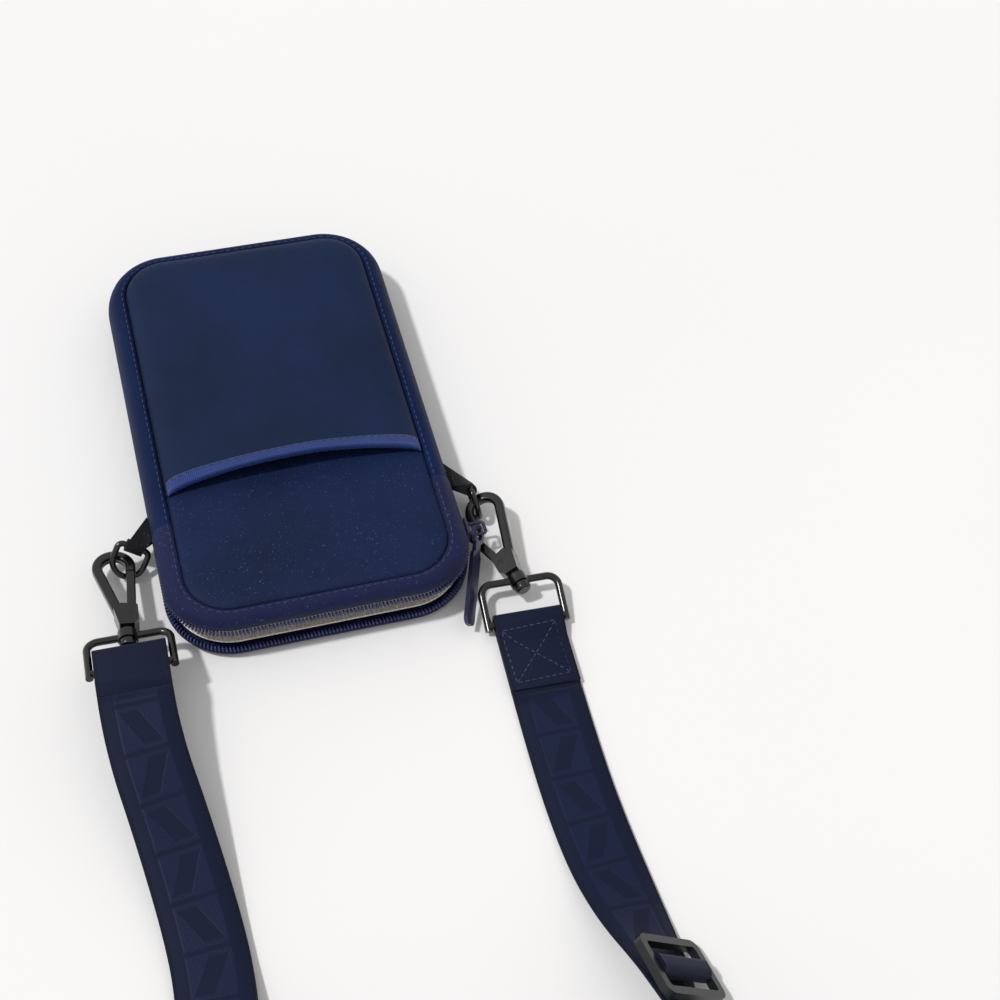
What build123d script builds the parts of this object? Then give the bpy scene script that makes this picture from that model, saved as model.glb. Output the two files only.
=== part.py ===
from build123d import *
import os
from math import atan2, cos, degrees, radians, sin, sqrt, tan

# A neoprene phone pouch that lies on its back, with a clip-on webbing strap.
# Millimetres. +Z is up, +Y points to the closed end and -Y to the zipped mouth.
# The origin is the middle of the flat back, on the surface that it rests on.

# pouch shell
bag_width = 110.0
bag_length = 182.0
corner_radius = 24.0
rim_depth = 22.0
neoprene = 3.0
edge_round = 6.0
inner_round = 3.0
seam_inset = 8.0
lining_thickness = 0.6

# zipped mouth, measured back along the sides from the near end
zip_reach = 48.0
mouth_gap = 8.2
mouth_gap_at_hinge = 1.0
mouth_mid_height = 9.6
coil_height = 2.2
flap_clearance = 0.3
flap_close_relief = 1.6
stop_length = 2.4
stop_height = 0.6

# slip pocket on the front
pocket_mouth_y = -31.0
pocket_sheet = 2.6
pocket_space = 1.2
pocket_seam = 6.0
pocket_depth = 92.0
binding_width = 4.6
binding_thickness = 0.7

# zip slider and its pull
slider_y = -62.0
slider_height = 10.4
slider_length = 7.4
slider_plate = 1.0
slider_post = 2.0
slider_outer_gap = 0.7
slider_inner_gap = 2.6
slider_plate_width = 8.0
slider_inner_length = 4.0
bail_wire = 1.2
bail_reach = 6.4
pull_eye_hole = 4.6
pull_eye_outer = 7.6
pull_length = 36.0
pull_width = 5.8
pull_thickness = 1.5

# side tabs and D-rings
tab_width = 11.0
tab_seam_y = -37.0
tab_height = 11.5
tab_sheet = 0.9
ring_wire = 2.2
ring_width = 11.4
ring_depth = 11.0
ring_fit = 0.3

# swivel hooks
hook_bar = 3.6
hook_arc_radius = 5.8
hook_arc_u = 32.0
hook_arc_v = -3.4
hook_nose_u = 29.6
hook_base_start = 3.4
hook_base_end = 12.0
hook_base_thickness = 6.6
hook_stem = 3.4
stem_fit = 0.25
stem_head = 6.0
stem_head_length = 2.6
gate_pivot_u = 8.6
gate_pivot_v = 1.8
gate_thickness = 3.0
gate_fit = 0.3
gate_pin = 1.5
pin_fit = 0.1
right_gate_ajar = 12.0

# strap loops
loop_inner_width = 25.9
loop_wire = 2.7
loop_depth = 15.2
loop_corner = 4.0
loop_boss = 7.0
loop_boss_length = 3.6

# webbing strap and its adjuster
strap_width = 25.0
strap_sheet = 1.3
layer_gap = 0.3
fold_fit = 0.2
adjuster_width = 31.0
adjuster_length = 22.0
adjuster_wire = 2.8

near_y = -bag_length / 2
hinge_y = near_y + zip_reach
half_width = bag_width / 2
layer_shift = (strap_sheet + layer_gap) / 2


def cut_box(x0, x1, y0, y1, z0, z1):
    """A plain block between two corners."""
    size = (x1 - x0, y1 - y0, z1 - z0)
    return Pos((x0 + x1) / 2, (y0 + y1) / 2, (z0 + z1) / 2) * Box(*size)


def rounded_block(inset, z0, z1):
    """The pouch outline, drawn in by inset, between two heights."""
    outline = RectangleRounded(bag_width - 2 * inset, bag_length - 2 * inset, corner_radius - inset)
    return Pos(0, 0, z0) * extrude(outline, z1 - z0)


def filleted_block(inset, z0, z1, rounding):
    block = rounded_block(inset, z0, z1)
    rims = block.edges().group_by(Axis.Z)
    return fillet(rims[0] + rims[-1], rounding)


def side_profile(points):
    """A block across the whole pouch, from (y, z) points."""
    face = make_face(Polyline(*[(0, y, z) for y, z in points], close=True))
    return extrude(face, bag_width, dir=(1, 0, 0), both=True)


def mouth_lower(y):
    """Height of the mouth gap's lower edge at y."""
    share = (hinge_y - y) / zip_reach
    middle = rim_depth / 2 + (mouth_mid_height - rim_depth / 2) * share
    return middle - (mouth_gap_at_hinge + (mouth_gap - mouth_gap_at_hinge) * share) / 2


def mouth_upper(y):
    share = (hinge_y - y) / zip_reach
    return mouth_lower(y) + mouth_gap_at_hinge + (mouth_gap - mouth_gap_at_hinge) * share


def flap_zone(extra=0.0):
    """Everything above the mouth gap and in front of the flap's fold, raised by extra."""
    front = near_y - 10
    back_top = hinge_y - flap_clearance / 2
    back_low = back_top - flap_close_relief
    low = mouth_upper(back_low) + extra
    return side_profile(
        [
            (front, mouth_upper(front) + extra),
            (back_low, low),
            (back_top, rim_depth),
            (back_top, rim_depth + 20),
            (front, rim_depth + 20),
        ]
    )


def base_zone(drop=0.0):
    """Everything below the mouth gap, and lowered by drop."""
    front = near_y - 10
    near_edge = (front, mouth_lower(front) - drop)
    far_edge = (hinge_y, mouth_lower(hinge_y) - drop)
    return side_profile([near_edge, far_edge, (hinge_y, -10), (front, -10)])


def rear_zone():
    """Everything behind the flap's fold."""
    return cut_box(-bag_width, bag_width, hinge_y + flap_clearance / 2, bag_length, -10, rim_depth + 20)


def pouch_shell():
    outer = filleted_block(0, 0, rim_depth, edge_round)
    inner = filleted_block(neoprene, neoprene, rim_depth - neoprene, inner_round)
    return outer - inner


def lining_shell():
    inset = neoprene + lining_thickness
    outer = filleted_block(neoprene, neoprene, rim_depth - neoprene, inner_round)
    inner = filleted_block(inset, inset, rim_depth - inset, inner_round - lining_thickness)
    return outer - inner


def build_shell():
    """The neoprene panels, the rim between them and the two rows of zip coil."""
    shell = pouch_shell()
    middle = rim_depth / 2
    rim = shell - rounded_block(seam_inset, -1, rim_depth + 1)
    front = shell & rounded_block(seam_inset, middle, rim_depth + 1)
    upper_rim = rim & flap_zone()
    lower_rim = rim & base_zone()
    upper_core = flap_zone(coil_height)
    lower_core = base_zone(coil_height)
    rear_rim = rim - base_zone() - side_profile(
        [(near_y - 10, -10), (hinge_y, -10), (hinge_y + flap_clearance / 2, rim_depth / 2),
         (hinge_y + flap_clearance / 2, rim_depth + 20), (near_y - 10, rim_depth + 20)]
    )
    return {
        "back_panel": shell & rounded_block(seam_inset, -1, middle),
        "front_panel": front & rear_zone(),
        "mouth_panel": front & flap_zone(),
        "gusset": rear_rim,
        "front_zip_tape": upper_rim & upper_core,
        "front_zip_coil": upper_rim - upper_core,
        "back_zip_tape": lower_rim & lower_core,
        "back_zip_coil": lower_rim - lower_core,
    }


def build_lining():
    lining = lining_shell()
    middle = rim_depth / 2
    rear = cut_box(-bag_width, bag_width, hinge_y + flap_clearance / 2, bag_length, middle, rim_depth)
    return {
        "back_lining": lining & (base_zone() + cut_box(-bag_width, bag_width, hinge_y, bag_length, -1, middle)),
        "front_lining": lining & rear,
        "mouth_lining": lining & flap_zone(),
    }


def build_zip_stops():
    """A stop at each end of the back coil, inside the start of the mouth gap."""
    y1 = hinge_y - 2
    y0 = y1 - stop_length
    floor = mouth_lower(y1)
    stops = []
    for side in (-1, 1):
        x_far = side * (half_width - 0.4)
        x_near = side * (half_width - neoprene + 0.4)
        block = cut_box(min(x_far, x_near), max(x_far, x_near), y0, y1, floor - 1, floor + stop_height)
        stops.append(block - base_zone())
    return Compound(stops)


def build_pocket():
    """The slip pocket's sheet over the front panel, and the tape along its mouth."""
    inset = seam_inset
    top = rim_depth + pocket_space + pocket_sheet
    far = cut_box(-bag_width, bag_width, pocket_mouth_y, bag_length, 0, 60)
    sheet = rounded_block(inset, rim_depth, top)
    sheet = fillet(sheet.edges().group_by(Axis.Z)[-1], pocket_sheet * 0.7)
    half = half_width - inset - pocket_seam
    space = cut_box(-half, half, pocket_mouth_y - 1, pocket_mouth_y + pocket_depth, 0, rim_depth + pocket_space)
    sheet = (sheet & far) - space
    edge = pocket_mouth_y + binding_width
    band = cut_box(-half, half, pocket_mouth_y - binding_thickness, edge, rim_depth + pocket_space, top)
    core = cut_box(-half, half, pocket_mouth_y, edge, rim_depth + pocket_space, top)
    lip = cut_box(-half, half, pocket_mouth_y - binding_thickness, edge, top, top + binding_thickness)
    return {"pocket_panel": sheet, "pocket_binding": (band - core) + lip}


def build_slider():
    """Two plates joined by a post in the mouth gap, with a bail on the outer plate."""
    outer_face = half_width + slider_outer_gap
    inner_face = half_width - neoprene - slider_inner_gap
    half_plate = slider_plate_width / 2
    outer = Pos(outer_face + slider_plate / 2, slider_y, slider_height) * Box(
        slider_plate, slider_length, slider_plate_width
    )
    outer = fillet(outer.edges().filter_by(Axis.X), 1.6)
    inner = Pos(inner_face - slider_plate / 2, slider_y, slider_height) * Box(
        slider_plate, slider_inner_length, slider_plate_width
    )
    post = Pos((outer_face + inner_face) / 2, slider_y + 0.4, slider_height) * Box(
        outer_face - inner_face + slider_plate, 2.4, slider_post
    )
    reach = outer_face + slider_plate + bail_reach
    foot = outer_face + slider_plate / 2
    leg = slider_length / 2 - bail_wire
    path = FilletPolyline(
        (foot, slider_y + leg, slider_height),
        (reach, slider_y + leg, slider_height),
        (reach, slider_y - leg, slider_height),
        (foot, slider_y - leg, slider_height),
        radius=1.0,
    )
    start = Plane(origin=path @ 0, z_dir=path % 0)
    bail = sweep(start * Circle(bail_wire / 2), path)
    return outer + inner + post + bail


def pull_frame():
    """The pull's own plane: local X runs from the eye to the tip, local Z is its flat face."""
    leg = slider_length / 2 - bail_wire
    eye = Vector(
        half_width + slider_outer_gap + slider_plate + bail_reach - 3.4,
        slider_y - leg - 0.5,
        slider_height + 0.3,
    )
    along = Vector(-0.335, -0.93, -0.15).normalized()
    face = Vector(0.84, -0.22, 0.48)
    face = (face - along * face.dot(along)).normalized()
    return Plane(origin=eye, x_dir=along, z_dir=face)


def build_pull():
    frame = pull_frame()
    eye = Circle(pull_eye_outer / 2)
    neck = Pos(pull_eye_outer / 2 + 1.5, 0) * Rectangle(7.0, 3.4)
    blade_start = pull_eye_outer / 2 + 3.0
    blade_middle = (blade_start + pull_length) / 2
    blade = Pos(blade_middle, 0) * RectangleRounded(pull_length - blade_start, pull_width, 2.4)
    outline = eye + neck + blade - Circle(pull_eye_hole / 2)
    solid = extrude(frame * outline, pull_thickness / 2, both=True)
    return solid


# Each side's bar line, and the way its D-ring hangs from the bar.
ring_bar_middle = {"left": Vector(-61.4, -42.5, 10.5), "right": Vector(62.3, -44.0, 10.42)}
ring_bar_way = {"left": Vector(0.845, -0.339, -0.413), "right": Vector(-0.078, -0.716, 0.694)}
ring_hang_way = {"left": Vector(-0.522, -0.587, -0.619), "right": Vector(0.18, -0.713, -0.678)}


def ring_plane(side):
    """Local X runs along the bar and local Y towards the round end."""
    bar = ring_bar_way[side].normalized()
    face = bar.cross(ring_hang_way[side]).normalized()
    return Plane(origin=ring_bar_middle[side], x_dir=bar, z_dir=face)


def build_ring(side):
    """A D-ring of round wire, with its straight bar in the tab's fold."""
    half = ring_width / 2
    bend = 1.8
    straight = ring_depth - half
    bar = Line((-half + bend, 0), (half - bend, 0))
    near = RadiusArc((half - bend, 0), (half, bend), -bend)
    side_run = Line((half, bend), (half, straight))
    round_end = RadiusArc((half, straight), (-half, straight), -half)
    back_run = Line((-half, straight), (-half, bend))
    far = RadiusArc((-half, bend), (-half + bend, 0), -bend)
    path = ring_plane(side) * Wire([bar, near, side_run, round_end, back_run, far])
    section = Plane(origin=path @ 0, z_dir=path % 0) * Circle(ring_wire / 2)
    return sweep(section, path)


def build_tab(side):
    """Folded webbing, sewn to the rim and wrapped round the D-ring's bar."""
    outward = 1 if side == "right" else -1
    plane = ring_plane(side)
    inner_radius = ring_wire / 2 + ring_fit
    outer_radius = inner_radius + tab_sheet
    bar_half = (ring_width - 5.0) / 2
    bar = plane.x_dir
    root_line = Vector(0, -1, 0) if bar.Y < 0 else Vector(0, 1, 0)
    middle = Vector(outward * half_width, tab_seam_y, tab_height)
    reach = (plane.origin - middle).normalized()
    sections = []
    for centre, along, half_run, half_thick in (
        (middle, root_line, tab_width / 2, tab_sheet),
        (plane.origin, bar, bar_half, outer_radius),
    ):
        lift = reach.cross(along).normalized()
        corners = [
            centre + along * half_run + lift * half_thick,
            centre - along * half_run + lift * half_thick,
            centre - along * half_run - lift * half_thick,
            centre + along * half_run - lift * half_thick,
        ]
        sections.append(Face(Wire.make_polygon(corners)))
    body = loft(sections, ruled=True)
    across = Plane(origin=plane.origin, z_dir=bar)
    wrap = extrude(across * Circle(outer_radius), bar_half, both=True)
    bore = extrude(across * Circle(inner_radius), ring_width, both=True)
    inside = cut_box(-half_width, half_width, -bag_length, bag_length, -10, 60)
    return body + wrap - bore - inside


# Each hook's swivel centre in its loop's top bar, the way its shank points and the gate's side.
hook_centre = {"left": Vector(-69.0, -79.6, 11.3), "right": Vector(69.5, -85.5, 7.4)}
hook_shank_way = {"left": Vector(0.079, 0.987, -0.139), "right": Vector(-0.208, 0.978, -0.03)}
hook_gate_way = {"left": Vector(0.992, -0.091, -0.084), "right": Vector(-0.892, -0.189, -0.411)}


def hook_plane(side):
    """Local X runs up the shank, local Y to the gate's side."""
    shank = hook_shank_way[side].normalized()
    face = shank.cross(hook_gate_way[side]).normalized()
    return Plane(origin=hook_centre[side], x_dir=shank, z_dir=face)


def hook_path():
    """Centre line of the spine, the round end and the nose, as (u, v)."""
    start = Vector(hook_base_end - 3.0, -2.0)
    centre = Vector(hook_arc_u, hook_arc_v)
    reach = centre - start
    distance = reach.length
    lean = atan2(reach.Y, reach.X) - atan2(hook_arc_radius, sqrt(distance**2 - hook_arc_radius**2))
    touch = centre + Vector(-sin(lean), cos(lean)) * -hook_arc_radius
    top = (hook_arc_u + hook_arc_radius, hook_arc_v)
    turn = (hook_arc_u, hook_arc_v + hook_arc_radius)
    spine = Line((start.X, start.Y), (touch.X, touch.Y))
    bend = ThreePointArc((touch.X, touch.Y), top, turn)
    nose = Line(turn, (hook_nose_u, hook_arc_v + hook_arc_radius))
    return Wire([spine, bend, nose])


def build_hook(side):
    """The cast hook: stem and head, forked base, spine, round end and nose."""
    plane = hook_plane(side)
    path = hook_path()
    start = Plane(origin=path @ 0, z_dir=path % 0)
    bar = sweep(start * RectangleRounded(hook_bar, hook_bar, 1.1), path)
    base_mid = (hook_base_start + hook_base_end) / 2
    outline = make_face(
        Polyline(
            (hook_base_start, -2.6),
            (hook_base_end - 1.0, -4.4),
            (hook_base_end + 1.0, -1.6),
            (hook_base_end, 4.0),
            (gate_pivot_u - 3.2, 4.2),
            (hook_base_start, 2.6),
            close=True,
        )
    )
    base = extrude(outline, hook_base_thickness / 2, both=True)
    base = fillet(base.edges().filter_by(Axis.Z), 0.5)
    slot_half = gate_thickness / 2 + gate_fit
    slot = cut_box(gate_pivot_u - 2.4, hook_base_end + 2.4, -1.5, 8.0, -slot_half, slot_half)
    pin_hole = Pos(gate_pivot_u, gate_pivot_v, 0) * Cylinder(gate_pin / 2 + pin_fit, 20)
    stem_low = -loop_boss_length / 2 - 0.4
    stem = Pos((stem_low + base_mid) / 2, 0, 0) * Rot(0, 90, 0) * Cylinder(hook_stem / 2, base_mid - stem_low)
    head_middle = stem_low - stem_head_length / 2
    head = Pos(head_middle, 0, 0) * Rot(0, 90, 0) * Cylinder(stem_head / 2, stem_head_length)
    head = fillet(head.edges().group_by(Axis.X)[0], 1.1)
    core = base - slot
    core = core + (stem - slot) + head + (bar - slot)
    return plane * (core - pin_hole)


def gate_swing(side):
    return right_gate_ajar if side == "right" else 0.0


def build_gate(side):
    """A flat bar that turns on its pin and closes on the nose's end."""
    plane = hook_plane(side)
    tip_u = hook_nose_u - gate_fit
    length = tip_u - gate_pivot_u
    lean = degrees(atan2(hook_arc_v + hook_arc_radius - gate_pivot_v, length))
    bar = Pos(length / 2, 0, 0) * Box(length, 3.2, gate_thickness)
    bar = fillet(bar.edges().filter_by(Axis.X), 0.6)
    knuckle = Cylinder(1.9, gate_thickness)
    bore = Cylinder(gate_pin / 2 + pin_fit, 20)
    solid = Rot(0, 0, lean + gate_swing(side)) * (bar + knuckle - bore)
    return plane * Pos(gate_pivot_u, gate_pivot_v, 0) * solid


def build_gate_pin(side):
    plane = hook_plane(side)
    pin = Cylinder(gate_pin / 2, hook_base_thickness)
    return plane * Pos(gate_pivot_u, gate_pivot_v, 0) * pin


# Each loop's top bar centre, the way down to its lower bar and its bar's line.
loop_down_way = {"left": Vector(-0.03, -0.966, 0.25), "right": Vector(0.0, -0.96, -0.27)}
loop_bar_way = {"left": Vector(1, -0.02, 0), "right": Vector(1, -0.04, 0)}


def loop_plane(side):
    """Local X runs along the top bar, local Y down to the lower bar."""
    bar = loop_bar_way[side].normalized()
    face = bar.cross(loop_down_way[side]).normalized()
    return Plane(origin=hook_centre[side], x_dir=bar, z_dir=face)


def build_loop(side):
    """The rectangular loop that the webbing goes through, with the swivel's bored boss."""
    plane = loop_plane(side)
    half = (loop_inner_width + loop_wire) / 2
    path = FilletPolyline(
        (-half, loop_depth + loop_wire / 2 + 0.6),
        (-half, 0),
        (half, 0),
        (half, loop_depth + loop_wire / 2 + 0.6),
        radius=loop_corner,
    )
    start = Plane(origin=path @ 0, z_dir=path % 0)
    frame = sweep(start * Circle(loop_wire / 2), path)
    lower = Pos(0, loop_depth, 0) * Rot(0, 90, 0) * Cylinder(loop_wire / 2, 2 * half)
    shank = hook_shank_way[side].normalized()
    boss_plane = Plane(origin=hook_centre[side], z_dir=shank)
    boss = extrude(boss_plane * Circle(loop_boss / 2), loop_boss_length / 2, both=True)
    bore = extrude(boss_plane * Circle(hook_stem / 2 + stem_fit), 20, both=True)
    room = extrude(boss_plane * Pos(0, 0, -loop_boss_length / 2 - 6) * Circle(stem_head / 2 + 0.4), 6)
    return plane * (frame + lower) + boss - bore - room


def loop_lower_bar(side):
    plane = loop_plane(side)
    return plane.origin + plane.y_dir * loop_depth


def strap_section(centre, along, roll, shift, sheet):
    """One cross-section of webbing: the edge inside the bend is turned up by roll degrees."""
    inward = along.cross(Vector(0, 0, 1)).normalized()
    lift = inward.cross(along).normalized()
    turn = radians(roll)
    across = inward * cos(turn) + lift * sin(turn)
    normal = lift * cos(turn) - inward * sin(turn)
    middle = centre + normal * shift
    half = strap_width / 2
    corners = [
        middle + across * half + normal * (sheet / 2),
        middle - across * half + normal * (sheet / 2),
        middle - across * half - normal * (sheet / 2),
        middle + across * half - normal * (sheet / 2),
    ]
    return Face(Wire.make_polygon(corners))


def route_stations(route):
    """Places, directions and rolls along straight runs joined by tangent arcs."""
    points = [Vector(*row[:3]) for row in route]
    rolls = [row[3] for row in route]
    runs = [points[i + 1] - points[i] for i in range(len(points) - 1)]
    stations = [(points[0], runs[0].normalized(), rolls[0])]
    for i in range(1, len(points) - 1):
        before = runs[i - 1].normalized()
        after = runs[i].normalized()
        turn = radians(before.get_angle(after))
        cut = 0.45 * min(runs[i - 1].length, runs[i].length)
        radius = cut / tan(turn / 2)
        away = (after - before * after.dot(before)).normalized()
        start = points[i] - before * cut
        steps = max(2, round(degrees(turn) / 6))
        share = cut / runs[i - 1].length
        roll_in = rolls[i] + (rolls[i - 1] - rolls[i]) * share
        roll_out = rolls[i] + (rolls[i + 1] - rolls[i]) * cut / runs[i].length
        for k in range(steps + 1):
            angle = turn * k / steps
            place = start + before * (radius * sin(angle)) + away * (radius * (1 - cos(angle)))
            way = before * cos(angle) + away * sin(angle)
            stations.append((place, way, roll_in + (roll_out - roll_in) * k / steps))
    stations.append((points[-1], runs[-1].normalized(), rolls[-1]))
    return stations


def build_webbing(route, shift):
    """One layer of webbing along a route of (x, y, z, roll) points."""
    sections = [strap_section(place, way, roll, shift, strap_sheet) for place, way, roll in route_stations(route)]
    return loft(sections, ruled=True)


# The strap's routes, from the right loop to the left one, with the roll at each point.
single_route = [
    (68.3, -128.0, 0.9, 0),
    (67.1, -158.0, 0.9, 0),
    (68.0, -190.0, 1.12, 0),
    (70.2, -214.0, 4.8, 17),
    (73.2, -234.0, 9.8, 38),
]
double_route = [
    (75.0, -246.0, 11.6, 50),
    (77.6, -266.0, 12.7, 66),
    (80.6, -294.0, 13.2, 84),
    (80.5, -330.0, 13.0, 90),
    (53.0, -367.0, 12.9, 90),
    (6.0, -381.0, 12.9, 90),
    (-42.0, -368.0, 12.9, 90),
    (-71.5, -329.0, 13.0, 88),
    (-73.0, -292.0, 13.2, 80),
    (-69.5, -258.0, 12.0, 58),
    (-64.0, -229.0, 6.6, 22),
    (-61.3, -206.0, 2.0, 0),
    (-62.0, -184.0, 2.2, 0),
    (-65.6, -152.0, 8.8, 0),
    (-69.95, -123.0, 16.2, 0),
    (-69.6, -106.0, 18.2, 0),
]


def sweep_sheet(plane, line):
    """A sheet of webbing that follows a line drawn in the plane."""
    path = plane * line
    start = Plane(origin=path @ 0, x_dir=plane.z_dir, z_dir=path % 0)
    return sweep(start * Rectangle(strap_width, strap_sheet), path)


def fold_plane(side, end):
    """A plane square to the loop's lower bar, with local X towards the bar and local Y up."""
    bar_way = loop_plane(side).x_dir
    flat = Vector(-bar_way.Y, bar_way.X, 0).normalized()
    return Plane(origin=end, x_dir=flat, z_dir=flat.cross(Vector(0, 0, 1)))


def build_left_fold():
    """The loose turn of webbing over and under the left loop's lower bar."""
    end = Vector(*double_route[-1][:3])
    heading = end - Vector(*double_route[-2][:3])
    plane = fold_plane("left", end)
    bar = loop_lower_bar("left") - end
    bar_s = bar.dot(plane.x_dir)
    slope = heading.Z / sqrt(heading.X**2 + heading.Y**2)
    lift = loop_wire / 2 + fold_fit + strap_sheet / 2 + 0.4
    tilt = atan2(slope, 1)
    back = layer_shift * sin(tilt)
    rise = layer_shift * cos(tilt)
    lead = bar_s * 0.45
    apex = bar_s + 8.8
    upper = [(-back, rise), (lead, rise + slope * lead), (bar_s, bar.Z + lift), (apex, bar.Z + 0.4)]
    lower = [(apex, bar.Z - 3.4), (bar_s, bar.Z - lift), (lead, slope * lead - rise), (back, -rise)]
    return sweep_sheet(plane, FilletPolyline(*(upper + lower), radius=1.6))


def build_right_fold():
    """The sewn end round the right loop's lower bar, two sheets thick."""
    end = Vector(*single_route[0][:3])
    plane = fold_plane("right", end)
    bar = loop_lower_bar("right") - end
    bar_s = bar.dot(plane.x_dir)
    reach = loop_wire / 2 + fold_fit + strap_sheet / 2
    sewn = bar_s - 8.0
    upper = strap_sheet + 0.02
    points = [
        (0, 0),
        (sewn, 0),
        (bar_s - 1.0, bar.Z - reach),
        (bar_s + reach + 0.7, bar.Z - reach + 0.1),
        (bar_s + reach + 0.7, bar.Z + reach - 0.1),
        (bar_s - 1.0, bar.Z + reach + 0.1),
        (sewn, upper),
        (1.0, upper),
    ]
    return sweep_sheet(plane, FilletPolyline(*points, radius=1.7))


def adjuster_plane():
    """The adjuster lies on the webbing between the single and the doubled run."""
    start = Vector(*single_route[-1][:3])
    end = Vector(*double_route[0][:3])
    along = (end - start).normalized()
    inward = along.cross(Vector(0, 0, 1)).normalized()
    lift = inward.cross(along).normalized()
    turn = radians((single_route[-1][3] + double_route[0][3]) / 2)
    across = inward * cos(turn) + lift * sin(turn)
    normal = lift * cos(turn) - inward * sin(turn)
    return Plane(origin=(start + end) * 0.5, x_dir=across, z_dir=normal)


def build_adjuster():
    """A three-bar adjuster: a rounded frame with a middle bar, above the webbing."""
    plane = adjuster_plane()
    rise = 2 * layer_shift + strap_sheet / 2 + adjuster_wire / 2 + 1.0
    outer = RectangleRounded(adjuster_width, adjuster_length, 3.6)
    window_w = adjuster_width - 2 * adjuster_wire
    window_l = (adjuster_length - 3 * adjuster_wire) / 2
    offset = (window_l + adjuster_wire) / 2
    windows = Pos(0, offset) * RectangleRounded(window_w, window_l, 1.2)
    windows = windows + Pos(0, -offset) * RectangleRounded(window_w, window_l, 1.2)
    frame = extrude(outer - windows, adjuster_wire / 2, both=True)
    return plane * Pos(0, 0, rise) * frame


def build_adjuster_run():
    """The webbing's straight stretch through the adjuster, between its two routes."""
    single_end = route_stations(single_route)[-1]
    double_start = route_stations(double_route)[0]
    first = strap_section(single_end[0], single_end[1], single_end[2], 0, strap_sheet)
    second = strap_section(double_start[0], double_start[1], double_start[2], -layer_shift, strap_sheet)
    return loft([first, second], ruled=True)


def main():
    os.makedirs("parts", exist_ok=True)
    pieces = {}
    pieces.update(build_shell())
    pieces.update(build_lining())
    pieces.update(build_pocket())
    pieces["zip_stops"] = build_zip_stops()
    pieces["zip_slider"] = build_slider()
    pieces["zip_pull"] = build_pull()
    for side in ("left", "right"):
        pieces[side + "_tab"] = build_tab(side)
        pieces[side + "_d_ring"] = build_ring(side)
        pieces[side + "_hook"] = build_hook(side)
        pieces[side + "_gate"] = build_gate(side)
        pieces[side + "_gate_pin"] = build_gate_pin(side)
        pieces[side + "_loop"] = build_loop(side)
    pieces["strap_right_fold"] = build_right_fold()
    pieces["strap_left_fold"] = build_left_fold()
    pieces["strap_single_run"] = build_webbing(single_route, 0)
    pieces["strap_outer_layer"] = build_webbing(double_route, layer_shift)
    pieces["strap_inner_layer"] = build_webbing(double_route, -layer_shift)
    pieces["strap_adjuster_run"] = build_adjuster_run()
    pieces["adjuster"] = build_adjuster()
    for name, shape in pieces.items():
        export_step(shape, "parts/" + name + ".step")


main()
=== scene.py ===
import bpy
from math import cos, pi, radians, sin
from mathutils import Matrix, Vector, noise


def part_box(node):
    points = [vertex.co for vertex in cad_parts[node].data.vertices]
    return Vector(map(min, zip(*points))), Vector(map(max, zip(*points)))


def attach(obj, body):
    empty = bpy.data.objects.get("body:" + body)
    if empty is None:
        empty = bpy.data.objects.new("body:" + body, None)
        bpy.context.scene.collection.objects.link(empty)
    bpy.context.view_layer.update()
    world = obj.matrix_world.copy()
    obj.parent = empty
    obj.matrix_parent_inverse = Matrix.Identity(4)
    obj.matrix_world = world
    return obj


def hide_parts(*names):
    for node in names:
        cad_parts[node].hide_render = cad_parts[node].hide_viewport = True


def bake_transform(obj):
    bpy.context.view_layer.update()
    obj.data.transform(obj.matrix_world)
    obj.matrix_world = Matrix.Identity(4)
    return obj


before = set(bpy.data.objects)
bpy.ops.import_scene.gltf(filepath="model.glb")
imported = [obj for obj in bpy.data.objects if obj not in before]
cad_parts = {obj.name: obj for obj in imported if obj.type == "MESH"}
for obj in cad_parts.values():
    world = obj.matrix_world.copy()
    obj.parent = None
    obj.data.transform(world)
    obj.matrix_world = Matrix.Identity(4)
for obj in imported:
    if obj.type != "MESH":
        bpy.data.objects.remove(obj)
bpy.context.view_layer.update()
mm = 0.001


# small helpers

def deselectAll():
    bpy.ops.object.select_all(action="DESELECT")


def pick(piece):
    deselectAll()
    piece.select_set(True)
    bpy.context.view_layer.objects.active = piece


def applyModifiers(piece):
    pick(piece)
    for modifier in list(piece.modifiers):
        bpy.ops.object.modifier_apply(modifier=modifier.name)


def meshPiece(name, points, faces, uvs=None):
    # points in metres; uvs one pair per point
    mesh = bpy.data.meshes.new(name)
    mesh.from_pydata([tuple(p) for p in points], [], faces)
    if uvs:
        layer = mesh.uv_layers.new(name="clothUV")
        for loop in mesh.loops:
            layer.data[loop.index].uv = uvs[loop.vertex_index]
    mesh.update()
    piece = bpy.data.objects.new(name, mesh)
    bpy.context.scene.collection.objects.link(piece)
    mesh.polygons.foreach_set("use_smooth", [True] * len(mesh.polygons))
    return piece


def addModifier(piece, kind, settings):
    modifier = piece.modifiers.new(kind.lower(), kind)
    for key, value in settings.items():
        setattr(modifier, key, value)


def editMesh(piece, operator, **settings):
    # one mesh operator on the whole piece
    pick(piece)
    bpy.ops.object.mode_set(mode="EDIT")
    bpy.ops.mesh.select_all(action="SELECT")
    operator(**settings)
    bpy.ops.object.mode_set(mode="OBJECT")


def tubeFaces(rings, count):
    # the faces of a closed tube: its first end, its sides and its last end
    faces = [tuple(range(count))]
    for ring in range(rings - 1):
        here, there = ring * count, (ring + 1) * count
        for side in range(count):
            after = (side + 1) % count
            faces.append((here + side, there + side, there + after, here + after))
    last = (rings - 1) * count
    faces.append(tuple(last + side for side in reversed(range(count))))
    return faces


def finishPiece(piece, body, material, nodes=()):
    piece.data.materials.clear()
    piece.data.materials.append(material)
    if body == "mouth_flap":
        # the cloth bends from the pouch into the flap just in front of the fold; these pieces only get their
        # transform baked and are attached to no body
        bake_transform(piece)
    else:
        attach(piece, body)
    if nodes:
        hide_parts(*nodes)


# shader values that can be written as sums

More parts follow.
